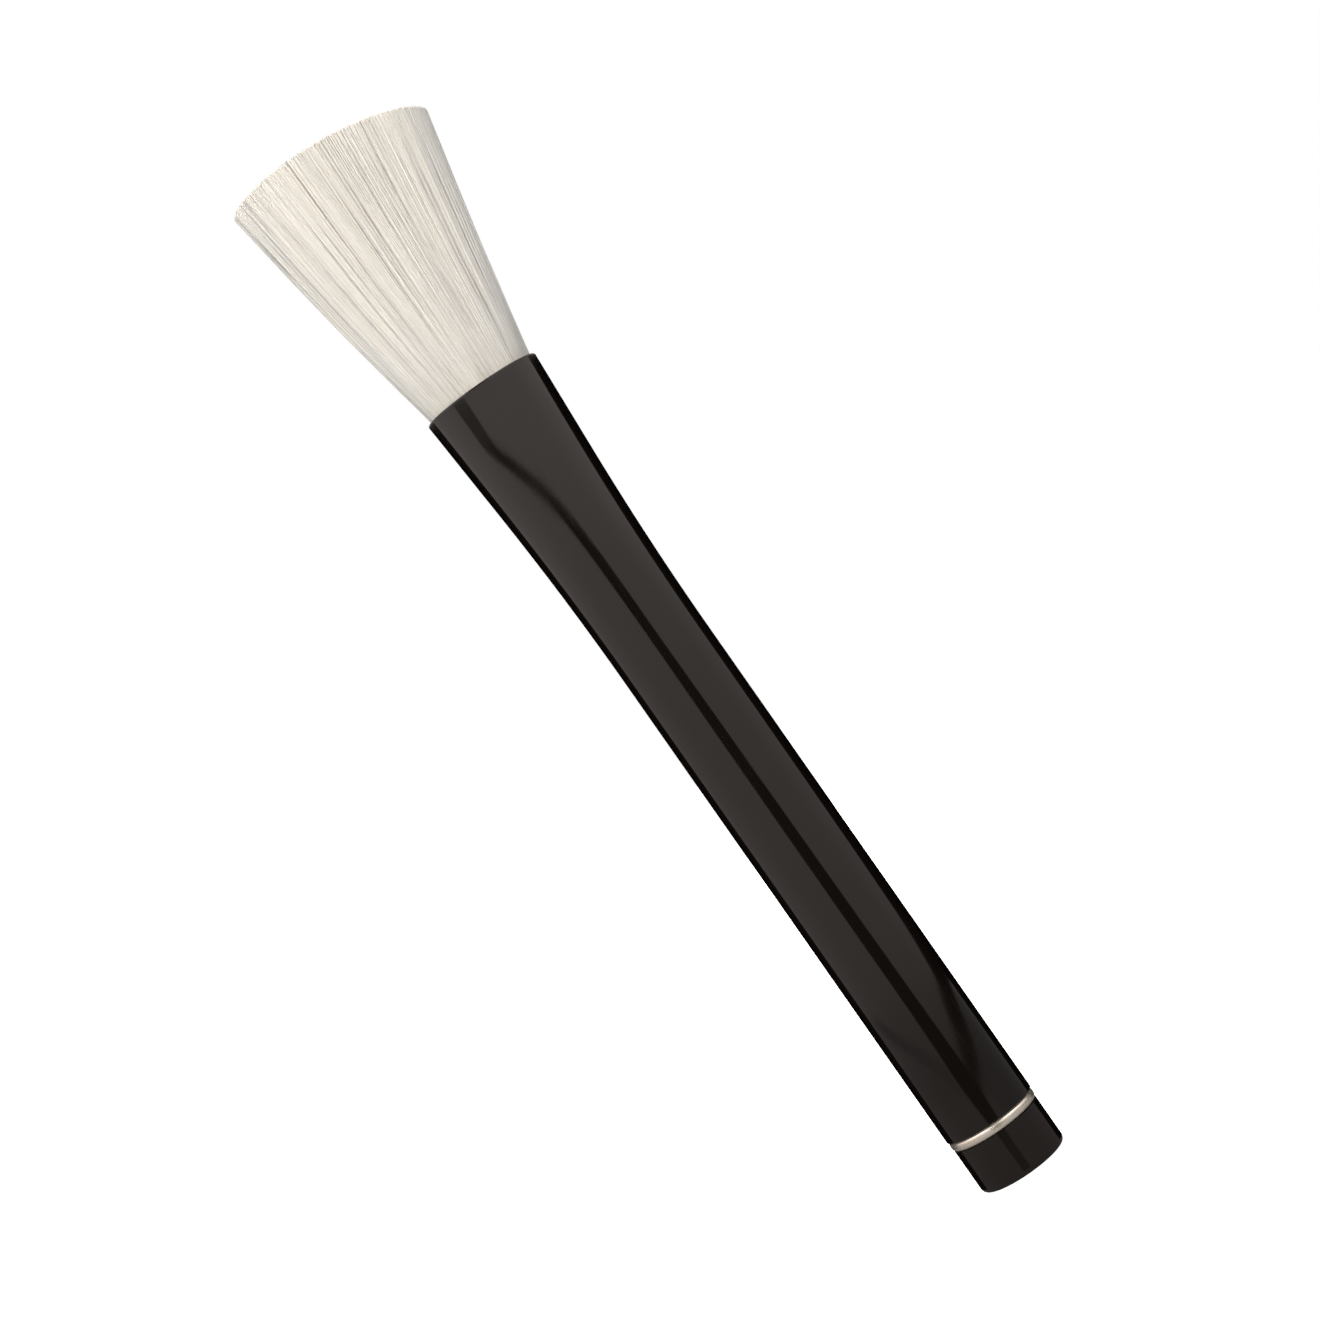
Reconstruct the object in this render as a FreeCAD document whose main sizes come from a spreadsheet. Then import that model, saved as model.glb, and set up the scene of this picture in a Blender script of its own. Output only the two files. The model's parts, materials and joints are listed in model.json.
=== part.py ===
# Round stencil brush: a lacquered metal sleeve over a wooden core, flared at the mouth that holds
# the hair, with a pale gold trim ring and a screwed end cap at the butt.
# Millimetres. The axis is +Z, the butt face is at Z = 0 and the hair points up.
import FreeCAD, Part
import os
import Sketcher

SIZES = [
    ("overall_length", 165.0, "butt face to the trimmed hair ends"),
    ("cap_length", 6.95, "visible height of the end cap"),
    ("cap_diameter", 13.3, "end cap"),
    ("cap_edge_radius", 0.8, "rounded edge of the butt face"),
    ("ring_length", 1.5, "height of the trim ring"),
    ("ring_diameter", 13.5, "trim ring, a little inside the barrel"),
    ("ring_edge_radius", 0.6, "rounded edges of the trim ring"),
    ("barrel_diameter", 13.7, "straight part of the handle"),
    ("sleeve_wall", 0.75, "wall of the drawn sleeve"),
    ("straight_end", 84.0, "height where the barrel starts to curve out"),
    ("curve_end", 113.0, "height where the curve runs into the straight cone"),
    ("mouth_diameter", 17.6, "outside of the mouth"),
    ("mouth_bore", 16.6, "opening of the mouth, where the wall is thinned"),
    ("mouth_height", 128.1, "height of the mouth"),
    ("mouth_edge_radius", 0.2, "rounded edges of the mouth"),
    ("slip_gap", 0.03, "radial gap of the glued and pressed fits"),
    ("spigot_top", 16.0, "height of the end of the cap's spigot"),
    ("spigot_chamfer", 0.5, "lead-in of the spigot"),
    ("stud_diameter", 4.0, "threaded stud that pulls the cap onto the core"),
    ("stud_base", 3.0, "height of the lower end of the stud"),
    ("stud_length", 28.0, "stud"),
    ("stud_chamfer", 0.4, "chamfered ends of the stud"),
    ("cup_base", 104.0, "height of the cup's floor, which rests on the core"),
    ("cup_top", 124.0, "height of the cup's rim, hidden below the mouth"),
    ("cup_base_diameter", 12.8, "cup at its floor"),
    ("cup_top_diameter", 15.0, "cup at its rim"),
    ("cup_wall", 0.4, "wall of the cup"),
    ("plug_top", 112.0, "height of the top of the cast resin"),
    ("root_diameter", 12.0, "hair where it leaves the resin"),
    ("thread_diameter", 0.7, "binding thread"),
    ("binding_base", 113.6, "height where the binding starts"),
    ("binding_top", 118.0, "height where the hair starts to spread"),
    ("tip_diameter", 30.0, "hair at the trimmed end"),
    ("tip_crown", 0.5, "rise of the trimmed end at its middle"),
]
THREAD_TURNS = 5


def make_sheet(doc):
    """One row per driving dimension: what it is, and its value under an alias."""
    sheet = doc.addObject("Spreadsheet::Sheet", "Sizes")
    for row, (alias, value, meaning) in enumerate(SIZES, start=1):
        sheet.set("A%d" % row, meaning)
        sheet.set("B%d" % row, str(value))
        sheet.setAlias("B%d" % row, alias)
    doc.recompute()
    return sheet


def size(name):
    """The expression that reads one dimension from the sheet."""
    return "Sizes." + name


def radius(name):
    """The expression for half of one diameter in the sheet."""
    return "Sizes.%s / 2" % name


def sketch_on_axis_plane(body, name):
    """A sketch on the body's own XZ plane, where X is the radius and Y is the height."""
    sketch = body.newObject("Sketcher::SketchObject", name)
    planes = [f for f in body.Origin.OriginFeatures if f.Role == "XZ_Plane"]
    sketch.AttachmentSupport = (planes[0], [""])
    sketch.MapMode = "FlatFace"
    return sketch


def place_corner(sketch, geo, pos, corner, radius_is_free):
    """Holds one end of a line or arc at its radius and height with bound dimensions."""
    values = [float(sketch.evalExpression(text)) for text in corner]
    for text, value, kind, axis in zip(corner, values, ("DistanceX", "DistanceY"), (-2, -1)):
        if kind == "DistanceX" and radius_is_free:
            continue
        if abs(value) < 1e-9:
            sketch.addConstraint(Sketcher.Constraint("PointOnObject", geo, pos, axis))
            continue
        index = sketch.addConstraint(Sketcher.Constraint(kind, -1, 1, geo, pos, value))
        sketch.setExpression("Constraints[%d]" % index, text)


def draw_section(sketch, corners, bent_sides=(), found_corners=()):
    """Draws a closed half section through corners given as (radius, height) expressions.

    The sides in bent_sides are arcs, tangent to the straight sides before and after them. The
    radius of a corner in found_corners is only a first value: the two tangents find the true one.
    """
    points = []
    for corner in corners:
        across, up = [float(sketch.evalExpression(text)) for text in corner]
        points.append(FreeCAD.Vector(across, up, 0))
    count = len(points)
    ends = []
    for side in range(count):
        start = points[side]
        finish = points[(side + 1) % count]
        if side in bent_sides:
            chord_middle = (start + finish) / 2
            middle = chord_middle - FreeCAD.Vector(abs(finish.x - start.x) / 4, 0, 0)
            geo = sketch.addGeometry(Part.Arc(start, middle, finish), False)
        else:
            geo = sketch.addGeometry(Part.LineSegment(start, finish), False)
        forward = sketch.getPoint(geo, 1).isEqual(start, 1e-6)
        ends.append((geo, 1, 2) if forward else (geo, 2, 1))
    smooth_corners = [corner for side in bent_sides for corner in (side, side + 1)]
    for corner in range(count):
        before = ends[corner - 1]
        after = ends[corner]
        kind = "Tangent" if corner in smooth_corners else "Coincident"
        joined = Sketcher.Constraint(kind, before[0], before[2], after[0], after[1])
        sketch.addConstraint(joined)
        place_corner(sketch, after[0], after[1], corners[corner], corner in found_corners)
    if sketch.solve() != 0:
        raise RuntimeError("the sketch %s has no solution" % sketch.Name)


def turned_body(doc, label, corners, bent_sides=(), found_corners=()):
    """A body turned about its axis from one closed half section."""
    body = doc.addObject("PartDesign::Body", label)
    body.Label = label
    sketch = sketch_on_axis_plane(body, label + "_section")
    draw_section(sketch, corners, bent_sides, found_corners)
    turn = body.newObject("PartDesign::Revolution", label + "_turned")
    turn.Profile = sketch
    turn.ReferenceAxis = (sketch, ["V_Axis"])
    turn.Angle = 360.0
    doc.recompute()
    return body


def circle_edges(shape, height, across):
    """Names of the circular edges at one height and radius."""
    names = []
    for index, edge in enumerate(shape.Edges, start=1):
        box = edge.BoundBox
        flat = abs(box.ZMin - height) < 1e-4 and abs(box.ZMax - height) < 1e-4
        if flat and abs(box.XMax - across) < 1e-4:
            names.append("Edge%d" % index)
    return names


def soften(doc, body, kind, name, circles, amount):
    """Fillets or chamfers the edges of a body that lie on circles given as (height, radius)."""
    base = body.Tip
    edges = []
    for height, across in circles:
        edges.extend(circle_edges(base.Shape, height, across))
    if len(edges) != len(circles):
        raise RuntimeError("%s found %d edges, not %d" % (name, len(edges), len(circles)))
    feature = body.newObject("PartDesign::" + kind, name)
    feature.Base = (base, edges)
    feature.setExpression("Radius" if kind == "Fillet" else "Size", amount)
    doc.recompute()


def make_handle_sleeve(doc, sheet):
    """Drawn metal sleeve: a straight barrel that curves into a straight cone up to the mouth."""
    butt_end = "Sizes.cap_length + Sizes.ring_length"
    bore = radius("barrel_diameter") + " - Sizes.sleeve_wall"
    curve_end_radius = "(Sizes.barrel_diameter + Sizes.mouth_diameter) / 4"
    body = turned_body(
        doc,
        "handle_sleeve",
        [
            (radius("barrel_diameter"), butt_end),
            (radius("barrel_diameter"), size("straight_end")),
            (curve_end_radius, size("curve_end")),
            (radius("mouth_diameter"), size("mouth_height")),
            (radius("mouth_bore"), size("mouth_height")),
            (curve_end_radius + " - Sizes.sleeve_wall", size("curve_end")),
            (bore, size("straight_end")),
            (bore, butt_end),
        ],
        bent_sides=[1, 5],
        found_corners=[2, 5],
    )
    rims = [(sheet.mouth_height, across / 2) for across in (sheet.mouth_diameter, sheet.mouth_bore)]
    soften(doc, body, "Fillet", "mouth_edges", rims, size("mouth_edge_radius"))
    return body


def make_trim_ring(doc, sheet):
    """Pale gold band that the cap's spigot passes through."""
    ring_top = "Sizes.cap_length + Sizes.ring_length"
    hole = radius("barrel_diameter") + " - Sizes.sleeve_wall"
    body = turned_body(
        doc,
        "trim_ring",
        [
            (hole, size("cap_length")),
            (radius("ring_diameter"), size("cap_length")),
            (radius("ring_diameter"), ring_top),
            (hole, ring_top),
        ],
    )
    across = sheet.ring_diameter / 2
    circles = [(sheet.cap_length, across), (sheet.cap_length + sheet.ring_length, across)]
    soften(doc, body, "Fillet", "ring_edges", circles, size("ring_edge_radius"))
    return body


def make_end_cap(doc, sheet):
    """Cap with a spigot that runs through the trim ring into the sleeve, tapped for the stud."""
    spigot = radius("barrel_diameter") + " - Sizes.sleeve_wall - Sizes.slip_gap"
    body = turned_body(
        doc,
        "end_cap",
        [
            ("0", "0"),
            (radius("cap_diameter"), "0"),
            (radius("cap_diameter"), size("cap_length")),
            (spigot, size("cap_length")),
            (spigot, size("spigot_top")),
            (radius("stud_diameter"), size("spigot_top")),
            (radius("stud_diameter"), size("stud_base")),
            ("0", size("stud_base")),
        ],
    )
    butt_circle = (0.0, sheet.cap_diameter / 2)
    soften(doc, body, "Fillet", "butt_edge", [butt_circle], size("cap_edge_radius"))
    spigot_radius = sheet.barrel_diameter / 2 - sheet.sleeve_wall - sheet.slip_gap
    spigot_circle = (sheet.spigot_top, spigot_radius)
    soften(doc, body, "Chamfer", "spigot_lead", [spigot_circle], size("spigot_chamfer"))
    return body


def make_cap_stud(doc, sheet):
    """Headless stud, drawn at its outer thread size, with a small gap to the tapped holes."""
    across = radius("stud_diameter") + " - Sizes.slip_gap"
    top = "Sizes.stud_base + Sizes.stud_length"
    corners = [("0", size("stud_base")), (across, size("stud_base")), (across, top), ("0", top)]
    body = turned_body(doc, "cap_stud", corners)
    rim = sheet.stud_diameter / 2 - sheet.slip_gap
    circles = [(sheet.stud_base, rim), (sheet.stud_base + sheet.stud_length, rim)]
    soften(doc, body, "Chamfer", "stud_ends", circles, size("stud_chamfer"))
    return body


def cylinder(doc, name, across, low, high):
    """A Part cylinder on the axis between two heights."""
    solid = doc.addObject("Part::Cylinder", name)
    solid.setExpression("Radius", across)
    solid.setExpression("Height", "(%s) - (%s)" % (high, low))
    solid.setExpression("Placement.Base.z", low)
    return solid


def make_core_dowel(doc):
    """Wooden dowel that stiffens the sleeve and takes the stud."""
    across = radius("barrel_diameter") + " - Sizes.sleeve_wall - Sizes.slip_gap"
    blank = cylinder(doc, "dowel_blank", across, size("spigot_top"), size("cup_base"))
    stud_top = "Sizes.stud_base + Sizes.stud_length"
    hole = cylinder(doc, "dowel_hole", radius("stud_diameter"), size("spigot_top"), stud_top)
    dowel = doc.addObject("Part::Cut", "core_dowel")
    dowel.Label = "core_dowel"
    dowel.Base = blank
    dowel.Tool = hole
    return dowel


def make_tuft_cup(doc):
    """Thin tapered cup, hidden in the flare, that holds the hair roots."""
    floor_inside = "Sizes.cup_base + Sizes.cup_wall"
    return turned_body(
        doc,
        "tuft_cup",
        [
            ("0", size("cup_base")),
            (radius("cup_base_diameter"), size("cup_base")),
            (radius("cup_top_diameter"), size("cup_top")),
            (radius("cup_top_diameter") + " - Sizes.cup_wall", size("cup_top")),
            (radius("cup_base_diameter") + " - Sizes.cup_wall", floor_inside),
            ("0", floor_inside),
        ],
    )


def make_root_plug(doc):
    """Cast resin in the bottom of the cup, which the hair roots are set in."""
    floor_inside = "Sizes.cup_base + Sizes.cup_wall"
    floor_radius = radius("cup_base_diameter") + " - Sizes.cup_wall"
    taper = "(Sizes.cup_top_diameter - Sizes.cup_base_diameter) / 2"
    share = "(Sizes.plug_top - %s) / (Sizes.cup_top - %s)" % (floor_inside, floor_inside)
    plug = doc.addObject("Part::Cone", "root_plug")
    plug.Label = "root_plug"
    plug.setExpression("Radius1", floor_radius + " - Sizes.slip_gap")
    plug.setExpression("Radius2", "%s + %s * %s - Sizes.slip_gap" % (floor_radius, taper, share))
    plug.setExpression("Height", "Sizes.plug_top - (%s)" % floor_inside)
    plug.setExpression("Placement.Base.z", floor_inside)
    return plug


def make_tuft_binding(doc):
    """Turns of thread, side by side, in the waist of the hair just above the resin."""
    turns = []
    for turn in range(THREAD_TURNS):
        ring = doc.addObject("Part::Torus", "thread_turn_%d" % (turn + 1))
        ring.setExpression("Radius1", radius("root_diameter") + " - Sizes.thread_diameter / 2")
        ring.setExpression("Radius2", radius("thread_diameter") + " - Sizes.slip_gap")
        lift = "Sizes.binding_base + Sizes.thread_diameter * %.1f" % (turn + 0.5)
        ring.setExpression("Placement.Base.z", lift)
        turns.append(ring)
    binding = doc.addObject("Part::Compound", "tuft_binding")
    binding.Label = "tuft_binding"
    binding.Links = turns
    return binding


def make_bristle_tuft(doc):
    """The hair as one soft solid: bound root, spread through the mouth, flat trimmed end."""
    waist = radius("root_diameter") + " - Sizes.thread_diameter"
    binding_end = "Sizes.binding_base + Sizes.thread_diameter * %d" % THREAD_TURNS
    cup_rim = radius("cup_top_diameter") + " - Sizes.cup_wall - Sizes.slip_gap * 4"
    body = turned_body(
        doc,
        "bristle_tuft",
        [
            ("0", size("plug_top")),
            (radius("root_diameter"), size("plug_top")),
            (radius("root_diameter"), size("binding_base")),
            (waist, size("binding_base")),
            (waist, binding_end),
            (radius("root_diameter"), binding_end),
            (radius("root_diameter"), size("binding_top")),
            (cup_rim, size("cup_top")),
            (radius("mouth_bore") + " - Sizes.slip_gap", size("mouth_height")),
            (radius("tip_diameter"), "Sizes.overall_length - Sizes.tip_crown"),
            ("0", size("overall_length")),
        ],
    )
    return body


def check_and_write(doc, parts):
    """Stops on any failed feature, then writes one file per piece."""
    for item in doc.Objects:
        if "Invalid" in item.State or "Error" in item.State:
            raise RuntimeError("%s failed: %s" % (item.Label, item.State))
    for part in parts:
        if part.Shape.isNull() or not part.Shape.isValid():
            raise RuntimeError("%s has no valid shape" % part.Label)
        if not part.Shape.Solids:
            raise RuntimeError("%s has no solid" % part.Label)
    os.makedirs("parts", exist_ok=True)
    for part in parts:
        part.Shape.exportStep("parts/%s.step" % part.Label)
        box = part.Shape.optimalBoundingBox(False, False)
        print("%-15s %8.1f mm3  Z %6.2f to %6.2f  radius %5.2f  solids %d" % (
            part.Label, part.Shape.Volume, box.ZMin, box.ZMax, box.XMax, len(part.Shape.Solids)))


def main():
    doc = FreeCAD.newDocument("stencil_brush")
    sheet = make_sheet(doc)
    parts = [
        make_handle_sleeve(doc, sheet),
        make_trim_ring(doc, sheet),
        make_end_cap(doc, sheet),
        make_cap_stud(doc, sheet),
        make_core_dowel(doc),
        make_tuft_cup(doc),
        make_root_plug(doc),
        make_tuft_binding(doc),
        make_bristle_tuft(doc),
    ]
    doc.recompute()
    check_and_write(doc, parts)


main()
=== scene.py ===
import json
import math
import random

import bpy
from mathutils import Matrix, Vector


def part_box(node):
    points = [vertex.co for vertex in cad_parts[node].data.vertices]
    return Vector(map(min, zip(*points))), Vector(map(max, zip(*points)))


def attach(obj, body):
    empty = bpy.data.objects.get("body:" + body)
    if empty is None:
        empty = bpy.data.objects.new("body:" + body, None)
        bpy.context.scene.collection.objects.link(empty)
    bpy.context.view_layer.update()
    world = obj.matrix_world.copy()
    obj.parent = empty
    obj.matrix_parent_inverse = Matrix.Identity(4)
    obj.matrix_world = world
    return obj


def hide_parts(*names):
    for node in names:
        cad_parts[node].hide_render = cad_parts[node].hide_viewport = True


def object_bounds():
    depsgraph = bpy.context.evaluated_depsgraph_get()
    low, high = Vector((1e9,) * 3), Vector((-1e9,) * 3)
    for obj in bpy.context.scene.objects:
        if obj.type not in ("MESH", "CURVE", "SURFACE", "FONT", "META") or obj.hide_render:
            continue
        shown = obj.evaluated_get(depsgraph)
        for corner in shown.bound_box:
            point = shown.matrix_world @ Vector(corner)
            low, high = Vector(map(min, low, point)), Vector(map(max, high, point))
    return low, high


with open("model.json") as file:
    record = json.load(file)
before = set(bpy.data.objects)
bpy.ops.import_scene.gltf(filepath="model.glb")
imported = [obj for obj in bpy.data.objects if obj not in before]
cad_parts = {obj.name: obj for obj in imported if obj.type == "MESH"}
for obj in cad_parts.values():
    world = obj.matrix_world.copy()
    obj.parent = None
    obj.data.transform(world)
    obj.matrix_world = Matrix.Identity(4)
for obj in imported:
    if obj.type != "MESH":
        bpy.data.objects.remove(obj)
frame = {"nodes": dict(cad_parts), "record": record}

# a round stencil brush: it stands on its butt at the origin, with its hair up along Z
cadLow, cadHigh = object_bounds()
mm = 0.001
weldGap = 0.001 * mm
smoothAngle = math.radians(32)
noiseSpan = (0.3, 0.7)  # nearly all of a noise lies between these values
nodes = frame["nodes"]
sleeveLow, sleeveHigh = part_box("handle_sleeve")
sleeveBase = sleeveLow[2]
mouthHeight = sleeveHigh[2]
mouthRadius = sleeveHigh[0]
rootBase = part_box("bristle_tuft")[0][2]
hairLength = cadHigh[2] - mouthHeight
mounts = {mount["name"]: mount for mount in frame["record"]["mounts"]}
barrelRadius = mounts["grip_barrel"]["dims"]["r_mm"] * mm


# camera: level with the middle of the brush, rolled so that the brush leans in the frame
cameraSet = {
    "lens": 80.6,
    "sensor": 36.0,
    "distance": 0.400,
    "lean": math.radians(35.0),
    "right": 2.0 * mm,  # the middle of the brush lies this far right of the frame's middle
    "down": 0.84 * mm,
    "clipNear": 0.01,
    "clipFar": 20.0,
}


def placeCamera():
    lean = cameraSet["lean"]
    right = Vector((math.cos(lean), 0, -math.sin(lean)))
    up = Vector((math.sin(lean), 0, math.cos(lean)))
    back = Vector((0, -1, 0))
    middle = Vector((0, 0, (cadLow[2] + cadHigh[2]) / 2))
    target = middle - right * cameraSet["right"] + up * cameraSet["down"]
    data = bpy.data.cameras.new("brushCamera")
    data.lens = cameraSet["lens"]
    data.sensor_width = cameraSet["sensor"]
    data.clip_start = cameraSet["clipNear"]
    data.clip_end = cameraSet["clipFar"]
    camera = bpy.data.objects.new("brushCamera", data)
    bpy.context.scene.collection.objects.link(camera)
    camera.location = target + back * cameraSet["distance"]
    camera.rotation_mode = "QUATERNION"
    camera.rotation_quaternion = Matrix((right, up, back)).transposed().to_quaternion()
    bpy.context.scene.camera = camera
    return camera


# helpers for pieces
def deselectAll():
    if bpy.context.object and bpy.context.object.mode != "OBJECT":
        bpy.ops.object.mode_set(mode="OBJECT")
    bpy.ops.object.select_all(action="DESELECT")


def nameActive(name):
    piece = bpy.context.object
    piece.name = name
    piece.data.name = name
    return piece


def dress(piece, material):
    piece.data.materials.clear()
    piece.data.materials.append(material)


def turnUp(name, profile, sides, hollow=False):  # extruded ring by ring; a hollow one ends where it began
    deselectAll()
    radius, height = profile[0]
    fill = "NOTHING" if hollow else "NGON"
    bpy.ops.mesh.primitive_circle_add(
        vertices=sides, radius=radius, fill_type=fill, location=(0, 0, height))
    piece = nameActive(name)
    bpy.ops.object.transform_apply(location=True)
    bpy.ops.object.mode_set(mode="EDIT")
    bpy.ops.mesh.select_all(action="SELECT")
    for nextRadius, nextHeight in profile[1:]:
        rise = (0, 0, nextHeight - height)
        bpy.ops.mesh.extrude_region_move(TRANSFORM_OT_translate={"value": rise})
        grow = nextRadius / radius
        bpy.ops.transform.resize(value=(grow, grow, 1), center_override=(0, 0, nextHeight))
        radius, height = nextRadius, nextHeight
    bpy.ops.mesh.select_all(action="SELECT")
    if hollow:
        bpy.ops.mesh.remove_doubles(threshold=weldGap)
    bpy.ops.mesh.normals_make_consistent(inside=False)
    bpy.ops.object.mode_set(mode="OBJECT")
    bpy.ops.object.shade_smooth_by_angle(angle=smoothAngle)
    return piece


def drawLine(name, points):  # an open line, extruded point by point from a single vertex
    deselectAll()
    bpy.ops.mesh.primitive_plane_add(size=1)
    piece = nameActive(name)
    bpy.ops.object.mode_set(mode="EDIT")
    bpy.ops.mesh.select_mode(type="VERT")
    bpy.ops.mesh.select_all(action="SELECT")
    bpy.ops.mesh.merge(type="CENTER")
    bpy.ops.transform.translate(value=points[0])
    for before, after in zip(points, points[1:]):
        step = [end - start for start, end in zip(before, after)]
        bpy.ops.mesh.extrude_region_move(TRANSFORM_OT_translate={"value": step})
    bpy.ops.object.mode_set(mode="OBJECT")
    return piece


def spiralUp(piece, rise, turns, steps):  # screws the active piece up the axis and closes both ends
    screw = piece.modifiers.new("spiral", "SCREW")
    screw.screw_offset = rise
    screw.iterations = turns
    screw.steps = steps
    screw.render_steps = steps
    bpy.ops.object.modifier_apply(modifier="spiral")
    bpy.ops.object.mode_set(mode="EDIT")
    bpy.ops.mesh.select_all(action="SELECT")
    bpy.ops.mesh.remove_doubles(threshold=weldGap)
    bpy.ops.mesh.fill_holes(sides=0)
    bpy.ops.mesh.select_all(action="SELECT")
    bpy.ops.mesh.normals_make_consistent(inside=False)
    bpy.ops.object.mode_set(mode="OBJECT")
    bpy.ops.object.shade_smooth_by_angle(angle=smoothAngle)


# helpers for materials
def newMaterial(name, kind="ShaderNodeBsdfPrincipled"):
    material = bpy.data.materials.new(name)
    material.use_nodes = True
    tree = material.node_tree
    tree.nodes.clear()
    output = tree.nodes.new("ShaderNodeOutputMaterial")
    shader = tree.nodes.new(kind)
    tree.links.new(shader.outputs[0], output.inputs["Surface"])
    return material, tree, shader


def setInputs(node, values):
    for key, value in values.items():
        node.inputs[key].default_value = value


def stretchedCoords(tree, scale, shift=(0, 0, 0)):
    place = tree.nodes.new("ShaderNodeTexCoord")
    mapping = tree.nodes.new("ShaderNodeMapping")
    setInputs(mapping, {"Scale": scale, "Location": shift})
    tree.links.new(place.outputs["Object"], mapping.inputs["Vector"])
    return mapping.outputs["Vector"]


def placeAxes(tree):  # the place on the piece, axis by axis
    place = tree.nodes.new("ShaderNodeTexCoord")
    split = tree.nodes.new("ShaderNodeSeparateXYZ")
    tree.links.new(place.outputs["Object"], split.inputs["Vector"])
    return split.outputs


def noiseOn(tree, vector, scale, detail):
    noise = tree.nodes.new("ShaderNodeTexNoise")
    setInputs(noise, {"Scale": scale, "Detail": detail})
    tree.links.new(vector, noise.inputs["Vector"])
    return noise.outputs["Fac"]


def spread(tree, source, fromLow, fromHigh, toLow, toHigh):
    span = tree.nodes.new("ShaderNodeMapRange")
    setInputs(span, {"From Min": fromLow, "From Max": fromHigh, "To Min": toLow, "To Max": toHigh})
    tree.links.new(source, span.inputs["Value"])
    return span.outputs["Result"]


def combine(tree, operation, first, second):
    joined = tree.nodes.new("ShaderNodeMath")
    joined.operation = operation
    tree.links.new(first, joined.inputs[0])
    tree.links.new(second, joined.inputs[1])
    return joined.outputs["Value"]


def mixColours(tree, factor, low, high):
    mix = tree.nodes.new("ShaderNodeMix")
    mix.data_type = "RGBA"
    for socket, value in ((mix.inputs[6], low), (mix.inputs[7], high)):  # the two colour sockets
        if isinstance(value, tuple):
            socket.default_value = (*value, 1)
        else:
            tree.links.new(value, socket)
    tree.links.new(factor, mix.inputs["Factor"])
    return mix.outputs[2]


def addGloss(tree, shader, noise, gloss):  # roughness varies between the two values of gloss
    tree.links.new(spread(tree, noise, *noiseSpan, *gloss), shader.inputs["Roughness"])


def addBump(tree, shader, source, strength, distance):
    bump = tree.nodes.new("ShaderNodeBump")
    setInputs(bump, {"Strength": strength, "Distance": distance})
    tree.links.new(source, bump.inputs["Height"])
    tree.links.new(bump.outputs["Normal"], shader.inputs["Normal"])


# black lacquer: deep gloss with a faint orange peel, hairline scratches and a rubbed mouth edge
lacquerSet = {
    "colour": (0.0042, 0.0031, 0.0026),
    "rubbed": (0.020, 0.013, 0.008),  # where the lacquer has worn thin
    "rubWidth": 0.25 * mm,
    "rubScale": 900,
    "gloss": (0.060, 0.085),
    "hazeScale": 160,
    "scratchScale": 5200,
    "scratchSpan": (0.62, 0.72),  # only the noise's highest streaks are scratches
    "scratchHaze": 0.05,
    "peelScale": 1400,
    "peelHeight": 0.0008 * mm,
}


def makeLacquer():
    material, tree, shader = newMaterial("blackLacquer")
    even = stretchedCoords(tree, (1, 1, 1))
    rubStart = mouthHeight - lacquerSet["rubWidth"]
    nearMouth = spread(tree, placeAxes(tree)["Z"], rubStart, mouthHeight, 0, 1)
    patchy = combine(tree, "MULTIPLY", nearMouth, noiseOn(tree, even, lacquerSet["rubScale"], 3))
    colour = mixColours(tree, patchy, lacquerSet["colour"], lacquerSet["rubbed"])
    tree.links.new(colour, shader.inputs["Base Color"])
    clouds = noiseOn(tree, even, lacquerSet["hazeScale"], 4)
    haze = spread(tree, clouds, *noiseSpan, *lacquerSet["gloss"])
    streaks = noiseOn(tree, stretchedCoords(tree, (1, 1, 0.02)), lacquerSet["scratchScale"], 2)
    scratches = spread(tree, streaks, *lacquerSet["scratchSpan"], 0, lacquerSet["scratchHaze"])
    tree.links.new(combine(tree, "ADD", haze, scratches), shader.inputs["Roughness"])
    addBump(tree, shader, noiseOn(tree, even, lacquerSet["peelScale"], 1), 1.0, lacquerSet["peelHeight"])
    shader.inputs["IOR"].default_value = 1.5
    return material


# the handle's sleeve: a straight barrel that curves out into a cone, with a thin rounded mouth
sleeveSet = {
    "straightEnd": 84 * mm,
    "curveEnd": 113 * mm,
    "wall": 0.75 * mm,
    "mouthWall": 0.50 * mm,
    "mouthRound": 0.20 * mm,
    "buttRound": 0.10 * mm,
    "hold": 0.05 * mm,  # a ring this close to each rounded edge keeps the long walls shaded straight
    "sides": 256,
    "curveSteps": 28,
    "coneSteps": 4,
    "boreSteps": 8,
}


def handleOutline(height):  # radius of the handle and slope of its wall
    start, end = sleeveSet["straightEnd"], sleeveSet["curveEnd"]
    fullSlope = (mouthRadius - barrelRadius) / ((end - start) / 2 + mouthHeight - end)
    curved = min(max(height - start, 0), end - start)
    inCurve = fullSlope * curved * curved / (2 * (end - start))
    inCone = fullSlope * max(height - end, 0)
    return barrelRadius + inCurve + inCone, fullSlope * curved / (end - start)


def roundCorner(radius, height, turnRadius, fromAngle, toAngle, steps):  # a small arc in a profile
    corner = []
    for step in range(steps + 1):
        angle = math.radians(fromAngle + (toAngle - fromAngle) * step / steps)
        corner.append((radius + turnRadius * math.cos(angle), height + turnRadius * math.sin(angle)))
    return corner


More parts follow.
